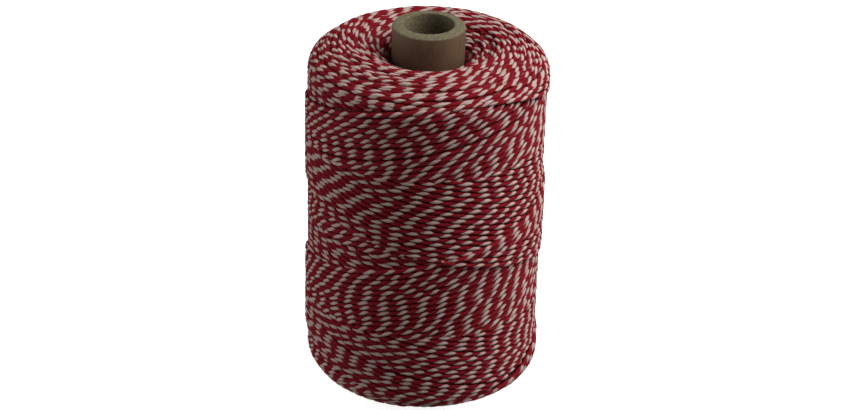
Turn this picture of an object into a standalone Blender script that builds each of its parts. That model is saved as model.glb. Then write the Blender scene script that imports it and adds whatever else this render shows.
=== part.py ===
"""A spool of twine: two-ply cord cross-wound on a plain cardboard tube.

The spool stands upright on the lower end of its tube. Lengths are in metres,
+Z is up, and the origin lies on the surface, below the middle of the tube.
"""
import math

import bmesh
import bpy
from mathutils import Vector

for item in list(bpy.data.objects):
    bpy.data.objects.remove(item, do_unlink=True)

# Driving dimensions
WOUND_RADIUS = 0.045
WOUND_HEIGHT = 0.1374
TUBE_RADIUS = 0.01355
TUBE_WALL = 0.0040
TUBE_PROUD = 0.0069
TUBE_EDGE = 0.0008
FIT_GAP = 0.0003

# Sizes that follow from them
TUBE_LENGTH = WOUND_HEIGHT + 2 * TUBE_PROUD
MIDDLE = TUBE_LENGTH / 2
BORE_RADIUS = TUBE_RADIUS - TUBE_WALL

# The winding: how far a strand climbs in one turn, how thick one crossed layer
# lies, and where the strands that were laid last cross at the middle height
CLIMB = 0.066
LAYER = 0.00096
CROSSING = math.radians(-78.0)

# The ends: a rounded shoulder up to a crest, and a shallow dish down to the tube
CREST_RADIUS = 0.0278
DISH_DEPTH = 0.0063
DISH_CURVE = 1.2

# The mesh: a row of the winding's lattice is as high as a strand climbs in a step
TUBE_STEPS = 64
WOUND_STEPS = 48
ROW = CLIMB / WOUND_STEPS
SIDE_ROWS = 42
SHOULDER_ROWS = 7
CREST_STEPS = 2
DISH_STEPS = 4
EDGE_STEPS = 3

SIDE_HALF = SIDE_ROWS * ROW
SHOULDER_HEIGHT = WOUND_HEIGHT / 2 - SIDE_HALF
SHOULDER_WIDTH = WOUND_RADIUS - CREST_RADIUS
DISH_RADIUS = TUBE_RADIUS + FIT_GAP


def make_material(name, colour, roughness):
    """A plain surface with one colour and roughness."""
    material = bpy.data.materials.new(name)
    material.use_nodes = True
    shader = material.node_tree.nodes["Principled BSDF"]
    shader.inputs["Base Color"].default_value = (*colour, 1.0)
    shader.inputs["Roughness"].default_value = roughness
    shader.inputs["Metallic"].default_value = 0.0
    return material


def turn(outline, start, steps):
    """Turn a closed outline of (radius, height) points once about the Z axis."""
    bm = bmesh.new()
    ring = []
    for radius, height in outline:
        place = Vector((radius * math.cos(start), radius * math.sin(start), height))
        ring.append(bm.verts.new(place))
    for first, second in zip(ring, ring[1:] + ring[:1]):
        bm.edges.new((first, second))
    bmesh.ops.spin(
        bm, geom=bm.verts[:] + bm.edges[:], axis=(0, 0, 1), cent=(0, 0, 0),
        angle=math.tau, steps=steps, use_merge=True)
    bmesh.ops.remove_doubles(bm, verts=bm.verts[:], dist=1e-6)
    return bm


def make_object(name, bm, material):
    """Close the work on a mesh and put it in the scene as one smooth object."""
    bmesh.ops.recalc_face_normals(bm, faces=bm.faces[:])
    mesh = bpy.data.meshes.new(name)
    bm.to_mesh(mesh)
    bm.free()
    mesh.shade_smooth()
    mesh.set_sharp_from_angle(angle=math.radians(40))
    mesh.materials.append(material)
    made = bpy.data.objects.new(name, mesh)
    bpy.context.scene.collection.objects.link(made)
    return made


def tube_outline():
    """The wall of the tube, with softly rounded outer edges at both ends."""
    corners = ((TUBE_LENGTH - TUBE_EDGE, 0.0), (TUBE_EDGE, -math.pi / 2))
    outer = []
    for height, turned in corners:
        for step in range(EDGE_STEPS + 1):
            angle = math.pi / 2 * (1 - step / EDGE_STEPS) + turned
            radius = TUBE_RADIUS - TUBE_EDGE * (1 - math.cos(angle))
            outer.append((radius, height + TUBE_EDGE * math.sin(angle)))
    return outer + [(BORE_RADIUS, 0.0), (BORE_RADIUS, TUBE_LENGTH)]


def past_side(rise):
    """How far up its shoulder a height lies: 0 on the side, 1 at the crest."""
    return max(0.0, abs(rise) - SIDE_HALF) / SHOULDER_HEIGHT


def outer_radius(rise):
    """The radius of the wound form at a height above or below its middle."""
    return CREST_RADIUS + SHOULDER_WIDTH * math.sqrt(1 - past_side(rise) ** 2)


def end_outline():
    """Half an end: from the last row of the shoulder over the crest into the dish.

    The points are (radius, rise) pairs, with the rise taken from the middle.
    """
    points = []
    last_row = math.asin(SHOULDER_ROWS * ROW / SHOULDER_HEIGHT)
    for step in range(1, CREST_STEPS + 1):
        angle = last_row + (math.pi / 2 - last_row) * step / CREST_STEPS
        radius = CREST_RADIUS + SHOULDER_WIDTH * math.cos(angle)
        points.append((radius, SIDE_HALF + SHOULDER_HEIGHT * math.sin(angle)))
    for step in range(1, DISH_STEPS + 1):
        share = step / DISH_STEPS
        radius = CREST_RADIUS - share * (CREST_RADIUS - DISH_RADIUS)
        points.append((radius, WOUND_HEIGHT / 2 - DISH_DEPTH * share ** DISH_CURVE))
    return points


def wound_outline():
    """The wound form in section: dish, crest, shoulder and side, top to bottom."""
    last = SIDE_ROWS + SHOULDER_ROWS
    rises = [row * ROW for row in range(last, -last - 1, -1)]
    side = [(outer_radius(rise), rise) for rise in rises]
    end = end_outline()
    below = [(radius, -rise) for radius, rise in end]
    section = end[::-1] + side + below
    return [(radius, MIDDLE + rise) for radius, rise in section]


def missing_turns(angle, rise):
    """The share of the last rising and of the last falling layer still to come.

    Each layer is laid strand beside strand, round the tube. Behind the newest
    strand the layer is whole, and just ahead of it the layer below still shows.
    """
    turned = (angle - CROSSING) / math.tau
    climbed = rise / CLIMB
    on_strand = 1e-5
    rising = (turned - climbed + on_strand) % 1.0
    falling = (turned + climbed + on_strand) % 1.0
    return rising + falling


def lay_winding(bm):
    """Turn the outer wall into a lattice along the strands and raise its layers."""
    last = SIDE_ROWS + SHOULDER_ROWS
    kept = []
    spare = []
    for vert in bm.verts:
        radius = math.hypot(vert.co.x, vert.co.y)
        row = round((vert.co.z - MIDDLE) / ROW)
        if radius < CREST_RADIUS + FIT_GAP or abs(row) > last:
            continue
        angle = math.atan2(vert.co.y, vert.co.x) - CROSSING
        column = round(angle / math.tau * WOUND_STEPS)
        if (row + column) % 2 == 0:
            kept.append(vert)
        elif abs(row) < last:
            spare.append(vert)
    bmesh.ops.connect_verts(bm, verts=kept)
    bmesh.ops.dissolve_verts(bm, verts=spare)
    for vert in kept:
        angle = math.atan2(vert.co.y, vert.co.x)
        rise = vert.co.z - MIDDLE
        fade = 1 - past_side(rise) ** 2
        lift = LAYER * fade * (1 - missing_turns(angle, rise))
        vert.co += lift * Vector((math.cos(angle), math.sin(angle), 0.0))


def make_tube():
    """The cardboard tube that carries the twine, open from end to end."""
    bm = turn(tube_outline(), 0.0, TUBE_STEPS)
    board = make_material("cardboard", (0.085, 0.062, 0.038), 0.85)
    return make_object("core_tube", bm, board)


def make_wound_twine():
    """The wound form: one ring about the tube, with the steps of its last layers."""
    bm = turn(wound_outline(), CROSSING, WOUND_STEPS)
    lay_winding(bm)
    bmesh.ops.triangulate(bm, faces=bm.faces[:], quad_method="SHORT_EDGE")
    yarn = make_material("red_and_white_yarn", (0.36, 0.075, 0.075), 0.9)
    return make_object("wound_twine", bm, yarn)


make_tube()
make_wound_twine()
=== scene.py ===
"""The looks of a spool of two-colour twine, cross-wound on a cardboard tube.

Lengths are in metres, +Z is up, and the spool stands on the lower end of its tube.
"""
import math
import random

import bmesh
import bpy
import numpy as np
from mathutils import Matrix, Vector


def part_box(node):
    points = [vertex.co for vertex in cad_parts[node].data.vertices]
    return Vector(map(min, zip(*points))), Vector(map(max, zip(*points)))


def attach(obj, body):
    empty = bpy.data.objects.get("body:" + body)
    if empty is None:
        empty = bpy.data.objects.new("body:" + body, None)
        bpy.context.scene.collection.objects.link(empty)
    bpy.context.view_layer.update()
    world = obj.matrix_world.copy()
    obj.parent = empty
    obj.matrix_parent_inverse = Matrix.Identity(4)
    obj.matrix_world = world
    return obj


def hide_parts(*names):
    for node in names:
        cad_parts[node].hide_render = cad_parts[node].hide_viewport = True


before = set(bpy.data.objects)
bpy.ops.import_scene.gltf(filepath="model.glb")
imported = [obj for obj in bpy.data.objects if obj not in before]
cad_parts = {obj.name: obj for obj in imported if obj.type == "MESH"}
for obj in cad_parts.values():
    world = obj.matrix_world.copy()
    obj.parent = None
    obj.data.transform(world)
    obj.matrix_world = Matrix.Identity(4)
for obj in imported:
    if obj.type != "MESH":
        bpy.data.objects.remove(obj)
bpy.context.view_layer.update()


# The board tube
# A spiral-wound tube of grey-brown board, cut square and lightly rounded at its
# outer edge. The cut ends show the pale layers, and the wall its smooth brown ply.
tube_low, tube_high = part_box("core_tube")
TUBE_LENGTH = tube_high[2] - tube_low[2]
TUBE_RADIUS = (tube_high[0] - tube_low[0]) / 2
TUBE_WALL = 0.0040
BORE_RADIUS = TUBE_RADIUS - TUBE_WALL
TUBE_OUTER_EDGE = 0.0010
TUBE_INNER_EDGE = 0.0002
RIM_FALL = 0.0003
RIM_SHARES = (0.25, 0.5, 0.75)
WALL_SHARES = (0.97, 0.94, 0.75, 0.5, 0.25, 0.06, 0.03)
CORNER_STEPS = 6
TUBE_STEPS = 144
SAME_POINT = 1e-6

BOARD_WALL = (0.126, 0.072, 0.037)
BOARD_STREAK = (0.090, 0.050, 0.026)
BOARD_CUT = (0.087, 0.075, 0.041)
BOARD_FLECK = (0.222, 0.196, 0.116)
CUT_DEPTH = 0.0010
CUT_BLEND = 0.0003
BORE_DEPTH = 0.0007
BORE_BLEND = 0.0004
BORE_PALENESS = 0.7
STREAKS_ROUND = 900.0
STREAKS_UP = 260.0
MOTTLE_STRENGTH = 0.25
BOARD_PLY = 0.00045
PLY_WAVINESS = 0.7
PLY_LINES = 0.35
FIBRE_HEIGHT = 0.6
PLY_HEIGHT = 0.4
BOARD_RELIEF = 0.00012
WALL_ROUGHNESS = 0.72
CUT_ROUGHNESS = 0.92


class Wire:
    """A number that runs between shader nodes and takes Python's arithmetic."""

    def __init__(self, tree, socket):
        self.tree = tree
        self.socket = socket

    def maths(self, operation, first, second=0.0):
        node = self.tree.nodes.new("ShaderNodeMath")
        node.operation = operation
        for place, value in enumerate((first, second)):
            if isinstance(value, Wire):
                self.tree.links.new(value.socket, node.inputs[place])
            else:
                node.inputs[place].default_value = value
        return Wire(self.tree, node.outputs[0])

    def __add__(self, other):
        return self.maths("ADD", self, other)

    def __radd__(self, other):
        return self.maths("ADD", other, self)

    def __sub__(self, other):
        return self.maths("SUBTRACT", self, other)

    def __rsub__(self, other):
        return self.maths("SUBTRACT", other, self)

    def __mul__(self, other):
        return self.maths("MULTIPLY", self, other)

    def __rmul__(self, other):
        return self.maths("MULTIPLY", other, self)

    def __truediv__(self, other):
        return self.maths("DIVIDE", self, other)

    def __abs__(self):
        return self.maths("ABSOLUTE", self)

    def power(self, exponent):
        return self.maths("POWER", self, exponent)

    def root(self):
        return self.maths("SQRT", self)

    def fraction(self):
        return self.maths("FRACT", self)

    def at_least(self, other):
        return self.maths("MAXIMUM", self, other)

    def clipped(self):
        """Keep a value from 0 to 1."""
        return self.maths("MINIMUM", self.at_least(0.0), 1.0)

    def between(self, low, high):
        """The share of the way from one value to another, kept from 0 to 1."""
        return ((self - low) / (high - low)).clipped()

    def contrast(self, gain, middle):
        """Steepen a pattern about its middle value, and keep it from 0 to 1."""
        return (self * gain - (gain * middle - 0.5)).clipped()


class Finish:
    """A material with one Principled surface, whose nodes are added by kind."""

    def __init__(self, name):
        self.material = bpy.data.materials.new(name)
        self.material.use_nodes = True
        self.tree = self.material.node_tree
        self.shader = self.tree.nodes["Principled BSDF"]

    def node(self, kind, settings, inputs, output=0):
        """Add a node, set it up, feed its sockets and give one of its outputs."""
        node = self.tree.nodes.new(kind)
        for name, value in settings.items():
            setattr(node, name, value)
        self.feed(node, inputs)
        return Wire(self.tree, node.outputs[output])

    def feed(self, node, inputs):
        """Set or link a node's sockets, which go by name or by identifier."""
        for name, value in inputs.items():
            known = {socket.name: socket for socket in reversed(node.inputs)}
            known.update({socket.identifier: socket for socket in node.inputs})
            if isinstance(value, Wire):
                self.tree.links.new(value.socket, known[name])
            else:
                known[name].default_value = value

    def surface(self, inputs):
        self.feed(self.shader, inputs)

    def mix(self, factor, first, second):
        """Blend two colours, which may be plain (r, g, b) values."""
        colours = {"Factor_Float": factor}
        for name, colour in (("A_Color", first), ("B_Color", second)):
            colours[name] = colour if isinstance(colour, Wire) else (*colour, 1.0)
        return self.node("ShaderNodeMix", {"data_type": "RGBA"}, colours, 2)

    def noise(self, vector, scale, detail, roughness=0.5):
        sockets = {"Vector": vector, "Scale": scale, "Detail": detail, "Roughness": roughness}
        return self.node("ShaderNodeTexNoise", {}, sockets)

    def place(self):
        """The point on the piece, in its own coordinates."""
        return self.node("ShaderNodeTexCoord", {}, {}, 3)

    def vector(self, x, y, z):
        return self.node("ShaderNodeCombineXYZ", {}, {"X": x, "Y": y, "Z": z})

    def axes(self, vector):
        """The three numbers of a vector."""
        fed = {"Vector": vector}
        return [self.node("ShaderNodeSeparateXYZ", {}, fed, axis) for axis in range(3)]

    def bump(self, height, distance):
        return self.node("ShaderNodeBump", {}, {"Height": height, "Distance": distance})


def turned_mesh(outline, steps):
    """Turn a closed outline of (radius, height) points once about the Z axis."""
    bm = bmesh.new()
    ring = [bm.verts.new((radius, 0.0, height)) for radius, height in outline]
    for first, second in zip(ring, ring[1:] + ring[:1]):
        bm.edges.new((first, second))
    bmesh.ops.spin(
        bm, geom=bm.verts[:] + bm.edges[:], axis=(0, 0, 1), cent=(0, 0, 0),
        angle=math.tau, steps=steps, use_merge=True)
    bmesh.ops.remove_doubles(bm, verts=bm.verts[:], dist=SAME_POINT)
    bmesh.ops.recalc_face_normals(bm, faces=bm.faces[:])
    return bm


def finished_piece(name, bm, finish, node):
    """Put a finished mesh in the scene as a piece that stands for a CAD node."""
    mesh = bpy.data.meshes.new(name)
    bm.to_mesh(mesh)
    bm.free()
    mesh.shade_smooth()
    mesh.materials.append(finish.material)
    piece = bpy.data.objects.new(name, mesh)
    bpy.context.scene.collection.objects.link(piece)
    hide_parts(node)
    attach(piece, "root")


def rounded_corner(radius, height, edge, start):
    """Points of a quarter round about a centre, clockwise from a start angle."""
    points = []
    for step in range(CORNER_STEPS + 1):
        angle = start - math.pi / 2 * step / CORNER_STEPS
        points.append((radius + edge * math.cos(angle), height + edge * math.sin(angle)))
    return points


def tube_outline():
    """The wall of the tube in section, with its rims cut into a few bands."""
    outer = TUBE_RADIUS - TUBE_OUTER_EDGE
    inner = BORE_RADIUS + TUBE_INNER_EDGE
    top = TUBE_LENGTH
    rim = [(inner + (outer - inner) * share, RIM_FALL * share) for share in RIM_SHARES]
    wall = [top * share for share in WALL_SHARES]
    fallen = TUBE_OUTER_EDGE + RIM_FALL
    points = rounded_corner(inner, top - TUBE_INNER_EDGE, TUBE_INNER_EDGE, math.pi)
    points += [(radius, top - fall) for radius, fall in rim]
    points += rounded_corner(outer, top - fallen, TUBE_OUTER_EDGE, math.pi / 2)
    points += [(TUBE_RADIUS, height) for height in wall]
    points += rounded_corner(outer, fallen, TUBE_OUTER_EDGE, 0.0)
    points += [(radius, fall) for radius, fall in reversed(rim)]
    points += rounded_corner(inner, TUBE_INNER_EDGE, TUBE_INNER_EDGE, -math.pi / 2)
    points += [(BORE_RADIUS, height) for height in reversed(wall)]
    return points


def board_finish():
    """Board: brown plies with upright streaks, and paler layers on the cut ends."""
    board = Finish("grey_brown_board")
    place = board.place()
    x, y, z = board.axes(place)
    radius = (x * x + y * y).root()
    past_wall = abs(z - TUBE_LENGTH / 2) - (TUBE_LENGTH / 2 - CUT_DEPTH)
    ragged = board.noise(place, scale=1200.0, detail=3.0) - 0.5
    on_rim = (past_wall / CUT_BLEND + ragged).clipped()
    in_bore = ((BORE_RADIUS + BORE_DEPTH - radius) / BORE_BLEND).clipped()
    on_cut = on_rim.at_least(in_bore * BORE_PALENESS)
    grain = board.vector(x * STREAKS_ROUND, y * STREAKS_ROUND, z * STREAKS_UP)
    streaks = board.noise(grain, scale=1.0, detail=4.0)
    mottle = board.noise(place, scale=260.0, detail=3.0)
    specks = board.noise(place, scale=1300.0, detail=3.0, roughness=0.7)
    waves = board.noise(place, scale=500.0, detail=2.0)
    plies = (radius / BOARD_PLY + waves * PLY_WAVINESS).fraction()
    wall = board.mix(streaks.contrast(2.4, middle=0.5), BOARD_STREAK, BOARD_WALL)
    wall = board.mix(mottle.contrast(3.0, middle=0.6) * MOTTLE_STRENGTH, wall, BOARD_CUT)
    cut = board.mix(specks.contrast(3.4, middle=0.5), BOARD_CUT, BOARD_FLECK)
    cut = board.mix(abs(plies - 0.5).contrast(4.0, middle=0.45) * PLY_LINES, cut, BOARD_WALL)
    height = specks * FIBRE_HEIGHT + streaks * FIBRE_HEIGHT + plies * on_cut * PLY_HEIGHT
    board.surface({
        "Base Color": board.mix(on_cut, wall, cut),
        "Roughness": WALL_ROUGHNESS + on_cut * (CUT_ROUGHNESS - WALL_ROUGHNESS),
        "Normal": board.bump(height, BOARD_RELIEF),
        "Specular IOR Level": 0.3,
    })
    return board


finished_piece(
    "board_tube", turned_mesh(tube_outline(), TUBE_STEPS), board_finish(), "core_tube")


# The winding underneath
# Behind the strands that show lie the older layers of the same twine. They are one
# turned form, a little inside the strands, and show only as dark gaps between them.
# Their red and white are painted darker than the strands', as shade in those gaps.
wound_low, wound_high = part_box("wound_twine")
WOUND_HEIGHT = wound_high[2] - wound_low[2]
MIDDLE = (wound_high[2] + wound_low[2]) / 2
WOUND_RADIUS = 0.045
SIDE_HALF = 0.05775
CREST_RADIUS = 0.0278
DISH_DEPTH = 0.0063
DISH_CURVE = 1.2
FIT_GAP = 0.0003
FOOT_RADIUS = TUBE_RADIUS + FIT_GAP
SIDE_STEPS = 20
SHOULDER_STEPS = 40
DISH_STEPS = 20
SLOPE_REACH = 0.0004
LAYER = 0.00096
LAYER_FADE = 0.012

UNDER_DEPTH = 0.0012
UNDER_STEPS = 60
UNDER_TURN_STEPS = 96
# Painted shade: the older twine's red and white, made much darker than the strands' own colours.
UNDER_RED_IN_SHADE = (0.200, 0.012, 0.019)
UNDER_WHITE_IN_SHADE = (0.310, 0.180, 0.160)
UNDER_FLECKS_ROUND = 300.0
UNDER_FLECKS_UP = 700.0
UNDER_RELIEF = 0.0004


def half_section():
    """The wound form from its middle height over an end to the tube.

    The points are (length along the section, radius, rise above the middle).
    """
    shoulder_height = WOUND_HEIGHT / 2 - SIDE_HALF
    shoulder_width = WOUND_RADIUS - CREST_RADIUS
    points = [(WOUND_RADIUS, SIDE_HALF * step / SIDE_STEPS) for step in range(SIDE_STEPS + 1)]
    for step in range(1, SHOULDER_STEPS + 1):
        angle = math.pi / 2 * step / SHOULDER_STEPS
        radius = CREST_RADIUS + shoulder_width * math.cos(angle)
        points.append((radius, SIDE_HALF + shoulder_height * math.sin(angle)))
    for step in range(1, DISH_STEPS + 1):
        share = step / DISH_STEPS
        radius = CREST_RADIUS - share * (CREST_RADIUS - FOOT_RADIUS)
        points.append((radius, WOUND_HEIGHT / 2 - DISH_DEPTH * share ** DISH_CURVE))
    lengths = [0.0]
    for first, second in zip(points, points[1:]):
        lengths.append(lengths[-1] + math.dist(first, second))
    return np.array([(length, *point) for length, point in zip(lengths, points)])


SECTION = half_section()
SECTION_END = SECTION[-1, 0]


def surface_point(length):
    """The (radius, rise) of the wound surface at a length from the middle height."""
    return [np.interp(length, SECTION[:, 0], SECTION[:, axis]) for axis in (1, 2)]


def on_section(length, depth):
    """The (radius, rise) at a length along the section, sunk below the surface.

    A length below zero is one on the lower half, and so is its rise.
    """
    radius, rise = surface_point(abs(length))
    first = surface_point(max(abs(length) - SLOPE_REACH, 0.0))
    second = surface_point(min(abs(length) + SLOPE_REACH, SECTION_END))
    along_radius = second[0] - first[0]
    along_rise = second[1] - first[1]
    size = math.hypot(along_radius, along_rise)
    radius -= depth * along_rise / size
    rise += depth * along_radius / size
    return radius, math.copysign(rise, length) if length else rise


def smooth(value):
    """Ease a share from 0 to 1."""
    value = min(max(value, 0.0), 1.0)
    return value * value * (3 - 2 * value)


def layered(length):
    """How much of a crossed layer's step is left at a length along the section."""
    return 1 - smooth((abs(length) - SIDE_HALF) / LAYER_FADE)


def under_outline():
    """The winding underneath in section, down one end, the side and the other end."""
    lengths = [SECTION_END * (1 - step / UNDER_STEPS) for step in range(UNDER_STEPS)]
    half = [on_section(length, UNDER_DEPTH + LAYER * layered(length)) for length in lengths]
    middle = [(WOUND_RADIUS - UNDER_DEPTH - LAYER, 0.0)]
    outline = half + middle + [(radius, -rise) for radius, rise in reversed(half)]
    return [(max(radius, FOOT_RADIUS), MIDDLE + rise) for radius, rise in outline]


def under_finish():
    """Twine with painted shade: darker than the strands and mostly red, with soft paler flecks,
    and a coarse rough weave.
    """
    under = Finish("twine_underneath_in_shade")
    x, y, z = under.axes(under.place())
    weave = under.vector(x * UNDER_FLECKS_ROUND, y * UNDER_FLECKS_ROUND, z * UNDER_FLECKS_UP)
    flecks = under.noise(weave, scale=1.0, detail=2.0)
    under.surface({
        "Base Color": under.mix(flecks.contrast(6.0, middle=0.6), UNDER_RED_IN_SHADE, UNDER_WHITE_IN_SHADE),
        "Roughness": 0.95,
        "Normal": under.bump(flecks, UNDER_RELIEF),
        "Specular IOR Level": 0.1,
    })
    return under


finished_piece(
    "winding_underneath", turned_mesh(under_outline(), UNDER_TURN_STEPS), under_finish(),
    "wound_twine")


# The twine
# Two cotton plies, one red and one white, laid up left-handed. Every strand that
# shows is a real twisted strand: its section is grooved between the plies, and
# turns once a lay, which wanders a little.
TWINE_DIAMETER = 0.0021
CLIMB = 0.066
STRAND_TURN = math.hypot(math.tau * WOUND_RADIUS, CLIMB)
LAY = 0.0073
LAY_SPREAD = 0.04
SLIP = 0.16
SWELL = 0.12
WAVES = 3
WAVES_A_TURN = (4, 16)
STEPS_PER_LAY = 11
STEP = LAY / STEPS_PER_LAY
ROUGH_STEPS = 24

PLY_POINTS = 5
PLY_CREST = 0.00103
PLY_GROOVE = 0.00078
WHITE_HALF = math.radians(86.0)
PLY_MARKS = ("outward", "across", "leaning", "facing")
TINY = 1e-9
BAKE_ROWS = 27
BAKE_MARGIN = 0.05

FLECK_WIDTH = 0.86
FLECK_LEAN = 0.52
FLECK_REACH = 0.62
FLECK_TAPER = 0.8
FLECK_EDGE = 0.25
FLECK_FRAY = 0.25
SIDE_FROM = -0.10
SIDE_TO = 0.30
RED = (0.258, 0.0095, 0.0180)
DEEP_RED = (0.156, 0.0070, 0.0115)
WHITE = (0.605, 0.460, 0.415)
SHADED_WHITE = (0.425, 0.310, 0.277)
# Painted shade: a dark red that the strands take on towards their deep sides, between strands.
CAVITY_SHADE = (0.190, 0.012, 0.018)
CAVITY_SHADE_FROM = -0.30
CAVITY_SHADE_TO = 0.35
FIBRES_ALONG = 700.0
FIBRES_AROUND = 34.0
PATCH_STRENGTH = 0.4
TWINE_ROUGHNESS = 0.78
FIBRE_ROUGHNESS = 0.15
FIBRE_RELIEF = 0.00012

chance = random.Random(7)


def wander(spread):
    """A slow wave about zero: a few sines with chance paces and places."""
    waves = [(chance.uniform(*WAVES_A_TURN), chance.uniform(0, math.tau)) for wave in range(WAVES)]

    def sway(turned):
        total = sum(math.sin(math.tau * turned * pace + place) for pace, place in waves)
        return spread * total / WAVES

    return sway


def section_curve():
    """The twine's section: a nearly round closed curve, with a groove at each ply's edges."""
    curve = bpy.data.curves.new("twine_section", "CURVE")
    curve.dimensions = "2D"
    spline = curve.splines.new("POLY")
    spline.points.add(2 * PLY_POINTS - 1)
    spline.use_cyclic_u = True
    for ply, half in enumerate((WHITE_HALF, math.pi - WHITE_HALF)):
        for place in range(PLY_POINTS):
            share = 1 - 2 * place / PLY_POINTS
            bulge = math.sqrt(abs(math.cos(math.pi / 2 * share)))
            radius = PLY_GROOVE + (PLY_CREST - PLY_GROOVE) * bulge
            angle = half * share - math.pi * ply
            point = (radius * math.cos(angle), radius * math.sin(angle), 0.0, 1.0)
            spline.points[ply * PLY_POINTS + place].co = point
    section = bpy.data.objects.new("twine_section", curve)
    bpy.context.scene.collection.objects.link(section)
    return section


def in_space(angle, length, depth):
    """A point of a strand's middle line, at its depth below the wound surface."""
    radius, rise = on_section(length, depth)
    return Vector((radius * math.cos(angle), radius * math.sin(angle), MIDDLE + rise))


def laid_points(path, start, end):
    """Evenly spaced points along a path of (angle, length on the section, depth).

    Each comes with the directions out of the wound form and across the strand.
    """
    rough = []
    for place in range(ROUGH_STEPS + 1):
        rough.append(in_space(*path(start + (end - start) * place / ROUGH_STEPS)))
    whole = sum((second - first).length for first, second in zip(rough, rough[1:]))
    count = round(whole / STEP)
    laid = []
    for place in range(count + 1):
        angle, length, depth = path(start + (end - start) * place / count)
        point = in_space(angle, length, depth)
        laid.append((point, (in_space(angle, length, depth - PLY_CREST) - point) / PLY_CREST))
    strand = []
    for place, (point, outward) in enumerate(laid):
        ahead = laid[min(place + 1, count)][0] - laid[max(place - 1, 0)][0]
        strand.append((point, outward, ahead.cross(outward).normalized()))
    return strand


def twine_mesh(name, strands):
    """One mesh of many strands, each its laid points and the lay at its middle."""
    section = section_curve()
    curve = bpy.data.curves.new(name, "CURVE")
    curve.dimensions = "3D"
    curve.twist_mode = "Z_UP"
    curve.bevel_mode = "OBJECT"
    curve.bevel_object = section
    for strand, lay in strands:
        spline = curve.splines.new("POLY")
        spline.points.add(len(strand) - 1)
        middle = (len(strand) - 1) / 2
        slip = wander(SLIP)
        swell = wander(SWELL)
        pace = chance.gauss(1.0, LAY_SPREAD) / STEPS_PER_LAY
        for place, (point, outward, side) in enumerate(strand):
            turned = place * STEP / STRAND_TURN
            lays = lay + (place - middle) * pace + slip(turned)
            spline.points[place].co = (*point, 1.0)
            spline.points[place].tilt = -math.tau * lays
            spline.points[place].radius = 1 + swell(turned)
        spline.points[0].radius = 0.0
        spline.points[-1].radius = 0.0
    drawn = bpy.data.objects.new(name, curve)
    bpy.context.scene.collection.objects.link(drawn)
    graph = bpy.context.evaluated_depsgraph_get()
    mesh = bpy.data.meshes.new_from_object(drawn.evaluated_get(graph))
    bpy.data.objects.remove(drawn)
    bpy.data.objects.remove(section)
    lay_out(mesh, [len(strand) - 1 for strand, lay in strands])
    mark_plies(mesh, [laid for strand, lay in strands for laid in strand])
    bm = bmesh.new()
    bm.from_mesh(mesh)
    bmesh.ops.remove_doubles(bm, verts=bm.verts[:], dist=SAME_POINT)
    bmesh.ops.recalc_face_normals(bm, faces=bm.faces[:])
    return bm


def lay_out(mesh, counts):
    """Give the strands two maps: metres along by share around, and rows for baking."""
    around = 2 * PLY_POINTS
    corners = np.empty(len(mesh.loops) * 2)
    mesh.uv_layers[0].data.foreach_get("uv", corners)
    share = corners.reshape(-1, 4, 2)[:, :, 1]
    segment = np.repeat(np.arange(sum(counts)), around)[:, None]
    ahead = np.array([0, 1, 1, 0])
    mesh.uv_layers[0].name = "strand"
    along = np.stack([(segment + ahead) * STEP, share], axis=-1)
    mesh.uv_layers["strand"].data.foreach_set("uv", along.ravel())
    per_row = math.ceil(sum(counts) / BAKE_ROWS)
    row = segment // per_row
    across = (segment % per_row + ahead) / per_row
    up = (row + BAKE_MARGIN + (1 - 2 * BAKE_MARGIN) * share) / BAKE_ROWS
    mesh.uv_layers.new(name="OFBake")
    mesh.uv_layers["OFBake"].data.foreach_set("uv", np.stack([across, up], axis=-1).ravel())


def mark_plies(mesh, laid):
    """Note on each vertex how it lies in its strand and which way the white ply faces.

    outward and across run from -1 to 1, leaning and facing are the sine and cosine
    of the white ply's turn away from the outside of the wound form. The two vertices
    on either side of the white ply's middle show where it faces.
    """
    places = np.empty(len(mesh.vertices) * 3)
    mesh.vertices.foreach_get("co", places)
    middles, outwards, sides = (np.array(part)[:, None] for part in zip(*laid))
    away = (places.reshape(len(laid), -1, 3) - middles) / PLY_CREST
    outward = (away * outwards).sum(axis=2)
    across = (away * sides).sum(axis=2)
    white = slice(PLY_POINTS // 2, PLY_POINTS // 2 + 2)
    leaning = across[:, white].sum(axis=1, keepdims=True)
    facing = outward[:, white].sum(axis=1, keepdims=True)
    size = np.hypot(leaning, facing) + TINY
    for name, values in zip(PLY_MARKS, (outward, across, leaning / size, facing / size)):
        mesh.attributes.new(name, "FLOAT", "POINT")
        values = np.broadcast_to(values, outward.shape).ravel()
        mesh.attributes[name].data.foreach_set("value", values)


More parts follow.
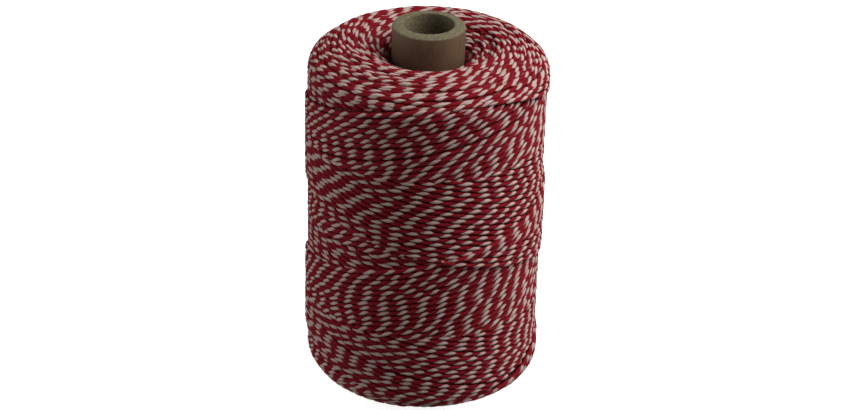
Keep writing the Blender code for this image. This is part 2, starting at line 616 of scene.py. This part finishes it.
def twine_finish():
    """Cotton: a red ply and a white ply, with fine fibres along each of them.

    The white shows as a slanting, pointed fleck where its ply comes round to the
    outside. Deep between the strands the colour is painted darker, as shade.
    """
    twine = Finish("red_and_white_twine")
    along, around = twine.axes(twine.node("ShaderNodeUVMap", {"uv_map": "strand"}, {}))[:2]
    stretched = twine.vector(along * FIBRES_ALONG, around * FIBRES_AROUND, 0.0)
    fibres = twine.noise(stretched, scale=1.0, detail=4.0, roughness=0.6)
    patches = twine.noise(twine.place(), scale=150.0, detail=2.0)
    outward, across, leaning, facing = (
        twine.node("ShaderNodeAttribute", {"attribute_name": name}, {}, 2) for name in PLY_MARKS)
    reach = ((facing + FLECK_REACH) / (1 + FLECK_REACH)).clipped().power(FLECK_TAPER)
    ragged = (fibres - 0.5) * FLECK_FRAY
    edge = FLECK_WIDTH * reach - abs(across - leaning * FLECK_LEAN) + ragged
    white_ply = (edge / FLECK_EDGE).clipped() * outward.between(SIDE_FROM, SIDE_TO)
    shade = fibres.contrast(2.6, middle=0.5)
    red = twine.mix(shade, DEEP_RED, RED)
    patchy = 1 - PATCH_STRENGTH + PATCH_STRENGTH * patches
    white = twine.mix(shade * patchy, SHADED_WHITE, WHITE)
    # Painted shade: the colour darkens to a dark red deep between the strands.
    unshaded_share = outward.between(CAVITY_SHADE_FROM, CAVITY_SHADE_TO)
    twine.surface({
        "Base Color": twine.mix(unshaded_share, CAVITY_SHADE, twine.mix(white_ply, red, white)),
        "Roughness": TWINE_ROUGHNESS + fibres * FIBRE_ROUGHNESS,
        "Normal": twine.bump(fibres, FIBRE_RELIEF),
        "Specular IOR Level": 0.05,
    })
    return twine


twine = twine_finish()


def strand_piece(name, strands):
    """Put strands in the scene as one piece of the wound twine."""
    finished_piece(name, twine_mesh(name, strands), twine, "wound_twine")


# The crossing strands of the side
# The strand climbs and falls round the tube in a steep cross-winding. Each stroke
# lies beside the last one, so the newest strands cover the older ones in bands that
# meet in level lines, and the very newest pair crosses at the front.
CROSSING = math.radians(-78.0)
STROKES = 30
DIP = 0.0016
TUCKED = 0.6
SIDE_SWAY = 0.00016
HEAVE = 0.00010

# In turns round the tube: where a rising and a falling strand lie free past their
# level line, how long a strand takes to come up, and how far its ends reach under
FREE_AT = {1: 0.0125, -1: -0.003}
COMING_UP = 0.0125
LEAD_IN = 0.016
LEAD_OUT = 0.011

# A run of strokes: how many, how far the lay of each leads the last, how loosely
RISING_RUNS = ((29, 0.0, 0.3),)
FALLING_RUNS = ((3, 0.1, 0.15), (7, -0.39, 0.1), (19, 0.15, 0.2))
BACK_RUNS = ((29, 0.1, 0.3),)


def lay_leads(runs):
    """How far the lay of each stroke leads, in turns of the twine, from a chance start."""
    leads = [chance.random()]
    for count, shift, loose in runs:
        for stroke in range(count):
            leads.append(leads[-1] + chance.gauss(shift, loose))
    return leads


def lay_at(turned):
    """The lay of a strand, in turns of the twine, where it has gone round so far."""
    return turned * STRAND_TURN / LAY


def coming_up(before):
    """How far a strand is still sunk, at so many turns before it lies free."""
    return DIP * smooth(before / COMING_UP)


def going_under(past):
    """How far a strand is sunk, at so many turns past where another covers it."""
    return DIP * smooth(past / LEAD_OUT) * TUCKED


def crossing_strand(way, cell, age, lead):
    """One strand from the level line where it comes up to where it is crossed.

    way is 1 for a rising strand and -1 for a falling one, cell counts half climbs
    from the middle height, and age runs from 0, the newest, to 1.
    """
    start = cell / 2
    crossed = start + (1 - age) / 2
    sideways = wander(SIDE_SWAY)
    deeper = wander(HEAVE)

    def path(climbed):
        other_age = 2 * (climbed - start) + age
        lift = LAYER * (1 - age - other_age)
        dip = coming_up(start + FREE_AT[way] - climbed)
        dip += going_under(climbed - crossed)
        depth = TWINE_DIAMETER / 2 + dip - lift + deeper(climbed)
        angle = CROSSING + math.tau * (climbed + age)
        return angle, way * (CLIMB * climbed + sideways(climbed)), depth

    first = start + FREE_AT[way] - LEAD_IN
    last = crossed + LEAD_OUT
    return laid_points(path, first, last), lay_at(age + (first + last) / 2) + lead


def side_strands(way, runs):
    """All strands of one way: those at the front, then those at the back."""
    strands = []
    for cell, leads in ((-1, lay_leads(runs)), (0, lay_leads(BACK_RUNS))):
        for stroke in range(STROKES):
            strands.append(crossing_strand(way, cell, stroke / STROKES, leads[stroke]))
    return strands


strand_piece("rising_strands", side_strands(1, RISING_RUNS))
strand_piece("falling_strands", side_strands(-1, FALLING_RUNS))


# The turning strands of the shoulders
# At each end the strand runs up the shoulder, bends over in a long arc and comes
# back. The arcs overlap like scales, the newest on top.
TURNING = 0.09
TURNED_LATE = 0.028
CREST_GAP = 0.0006
CREST_SPREAD = 0.00015
TURN_SWAY = 0.00018
TURN_OVERLAP = 0.03
UPPER_RUNS = ((5, -0.4, 0.1), (3, -0.1, 0.08), (4, 0.37, 0.07), (17, 0.06, 0.2))
LOWER_RUNS = ((6, -0.1, 0.1), (6, 0.35, 0.1), (17, -0.05, 0.25))


def turning_path(end, age):
    """The path of one turning strand, by turns before or after its highest point."""
    sideways = wander(TURN_SWAY)
    deeper = wander(HEAVE)
    reach = CLIMB * (1 - TURNING / 2) - CREST_GAP + chance.gauss(0.0, CREST_SPREAD)

    def path(turned):
        past = turned - TURNED_LATE * max(1 - 2 * abs(turned), 0.0)
        bent = min(abs(past), TURNING)
        fall = CLIMB * (bent * bent / (2 * TURNING) + abs(past) - bent)
        length = reach - fall
        if turned < 0:
            other_age = 2 * (0.5 + turned) + age
            dip = coming_up(FREE_AT[end] - 0.5 - turned)
            dip += going_under(turned + age / 2) if age else 0.0
        else:
            other_age = 2 * turned + age
            dip = going_under(turned - 0.5 + age / 2)
        lift = LAYER * layered(length) * (1 - age - other_age)
        depth = TWINE_DIAMETER / 2 + dip - lift + deeper(turned)
        angle = CROSSING + math.tau * (age + turned)
        return angle, end * (length + sideways(turned)), depth

    return path


def turning_strands(end, runs):
    """The strokes of one end: each goes up in one strand, and comes back in another.

    The newest one lies on top all the way, so it is one strand.
    """
    strands = []
    leads = lay_leads(runs)
    for stroke in range(STROKES):
        age = stroke / STROKES
        path = turning_path(end, age)
        under = FREE_AT[end] - LEAD_IN
        spans = [(under - 0.5, LEAD_OUT - age / 2), (-TURN_OVERLAP, 0.5 - age / 2 + LEAD_OUT)]
        if stroke == 0:
            spans = [(spans[0][0], spans[1][1])]
        for start, finish in spans:
            lay = lay_at(age + (start + finish) / 2) + leads[stroke]
            strands.append((laid_points(path, start, finish), lay))
    return strands


strand_piece("upper_turning_strands", turning_strands(1, UPPER_RUNS))
strand_piece("lower_turning_strands", turning_strands(-1, LOWER_RUNS))


# The strands of the end faces
# Inside the shoulders the ends show the bends of older layers, which lie almost
# level round the tube. They are rings of overlapping arcs, down into the dish.
RING_START = 0.0645
RING_END = SECTION_END - TWINE_DIAMETER / 2
RING_PITCH = 0.0020
RING_SHIFT = 0.37
ARCS = 6
ARC_LOOSENESS = 0.1
ARC_OVERLAP = 0.07
ARC_TUCK = 0.12
ARC_SLANT = 0.0036
ARC_SWAY = 0.00045
ARC_DEPTHS = (-0.0002, 0.0006)


def end_arc(end, ring, arc):
    """One arc of a ring: it comes up from under one neighbour and goes down by another."""
    lay = chance.random()
    start = (arc + RING_SHIFT * ring + chance.uniform(-ARC_LOOSENESS, ARC_LOOSENESS)) / ARCS
    span = 1 / ARCS + ARC_OVERLAP
    sideways = wander(ARC_SWAY)
    slant = chance.uniform(-1, 1) * ARC_SLANT
    deeper = chance.uniform(*ARC_DEPTHS)

    def path(share):
        turned = start + span * share
        tucked = smooth(1 - share / ARC_TUCK) + smooth((share - (1 - ARC_TUCK)) / ARC_TUCK)
        length = RING_START + RING_PITCH * ring + slant * (share - 0.5) + sideways(turned)
        angle = CROSSING + math.tau * turned
        return angle, end * min(length, RING_END), TWINE_DIAMETER / 2 + DIP * tucked + deeper

    return laid_points(path, 0.0, 1.0), lay


def end_strands(end):
    """Every arc of one end, from the shoulder to the foot of the tube."""
    rings = int((RING_END - RING_START) / RING_PITCH) + 1
    return [end_arc(end, ring, arc) for ring in range(rings) for arc in range(ARCS)]


strand_piece("upper_end_strands", end_strands(1))
strand_piece("lower_end_strands", end_strands(-1))


# The stage
# A plain pale floor, soft lights to the right, to the left and above the spool, a
# faint one low in front of it, and a weak even light all round.
FLOOR_SIZE = 8.0
FLOOR_WHITE = (0.9, 0.9, 0.9, 1.0)
FLOOR_GLOW = 0.85
EVEN_WHITE = (1.0, 1.0, 1.0, 1.0)
EVEN_LIGHT = 0.12
IMAGE_WIDTH = 854
SENSOR = 36.0
CAMERA_DISTANCE = 0.8522
CAMERA_ELEVATION = math.radians(28.13)
CAMERA_ROLL = math.radians(1.54)
CAMERA_TARGET = Vector((0.00108, 0.0, 0.0760))
FOCAL_PIXELS = 2233.6

bpy.ops.mesh.primitive_plane_add(size=FLOOR_SIZE)
floor = bpy.context.object
floor.name = "floor"
paper = Finish("pale_paper")
paper.surface({
    "Base Color": FLOOR_WHITE,
    "Roughness": 0.9,
    "Specular IOR Level": 0.1,
    "Emission Color": EVEN_WHITE,
    "Emission Strength": FLOOR_GLOW,
})
floor.data.materials.append(paper.material)
floor.visible_diffuse = False


def soft_light(name, place, size, power):
    """A square light that faces the middle of the spool."""
    data = bpy.data.lights.new(name, "AREA")
    data.size = size
    data.energy = power
    light = bpy.data.objects.new(name, data)
    light.location = place
    light.rotation_euler = (Vector(place) - CAMERA_TARGET).to_track_quat("Z", "Y").to_euler()
    bpy.context.scene.collection.objects.link(light)


soft_light("right", (0.49, -0.05, 0.40), size=0.5, power=2.7)
soft_light("left", (-0.55, -0.05, 0.20), size=0.5, power=1.55)
soft_light("above", (0.31, -0.03, 0.71), size=0.4, power=3.0)
soft_light("front", (0.0, -0.45, 0.02), size=0.3, power=0.14)

world = bpy.data.worlds.new("room")
world.use_nodes = True
world.node_tree.nodes["Background"].inputs["Color"].default_value = EVEN_WHITE
world.node_tree.nodes["Background"].inputs["Strength"].default_value = EVEN_LIGHT
bpy.context.scene.world = world
bpy.context.scene.view_settings.view_transform = "Standard"

camera_data = bpy.data.cameras.new("camera")
camera_data.sensor_width = SENSOR
camera_data.lens = FOCAL_PIXELS / IMAGE_WIDTH * SENSOR
camera = bpy.data.objects.new("camera", camera_data)
forward = Vector((0.0, math.cos(CAMERA_ELEVATION), -math.sin(CAMERA_ELEVATION)))
level = Vector((1.0, 0.0, 0.0))
upward = level.cross(forward)
across = level * math.cos(CAMERA_ROLL) + upward * math.sin(CAMERA_ROLL)
above = upward * math.cos(CAMERA_ROLL) - level * math.sin(CAMERA_ROLL)
aimed = Matrix((across, above, -forward)).transposed().to_4x4()
camera.matrix_world = Matrix.Translation(CAMERA_TARGET - forward * CAMERA_DISTANCE) @ aimed
bpy.context.scene.collection.objects.link(camera)
bpy.context.scene.camera = camera
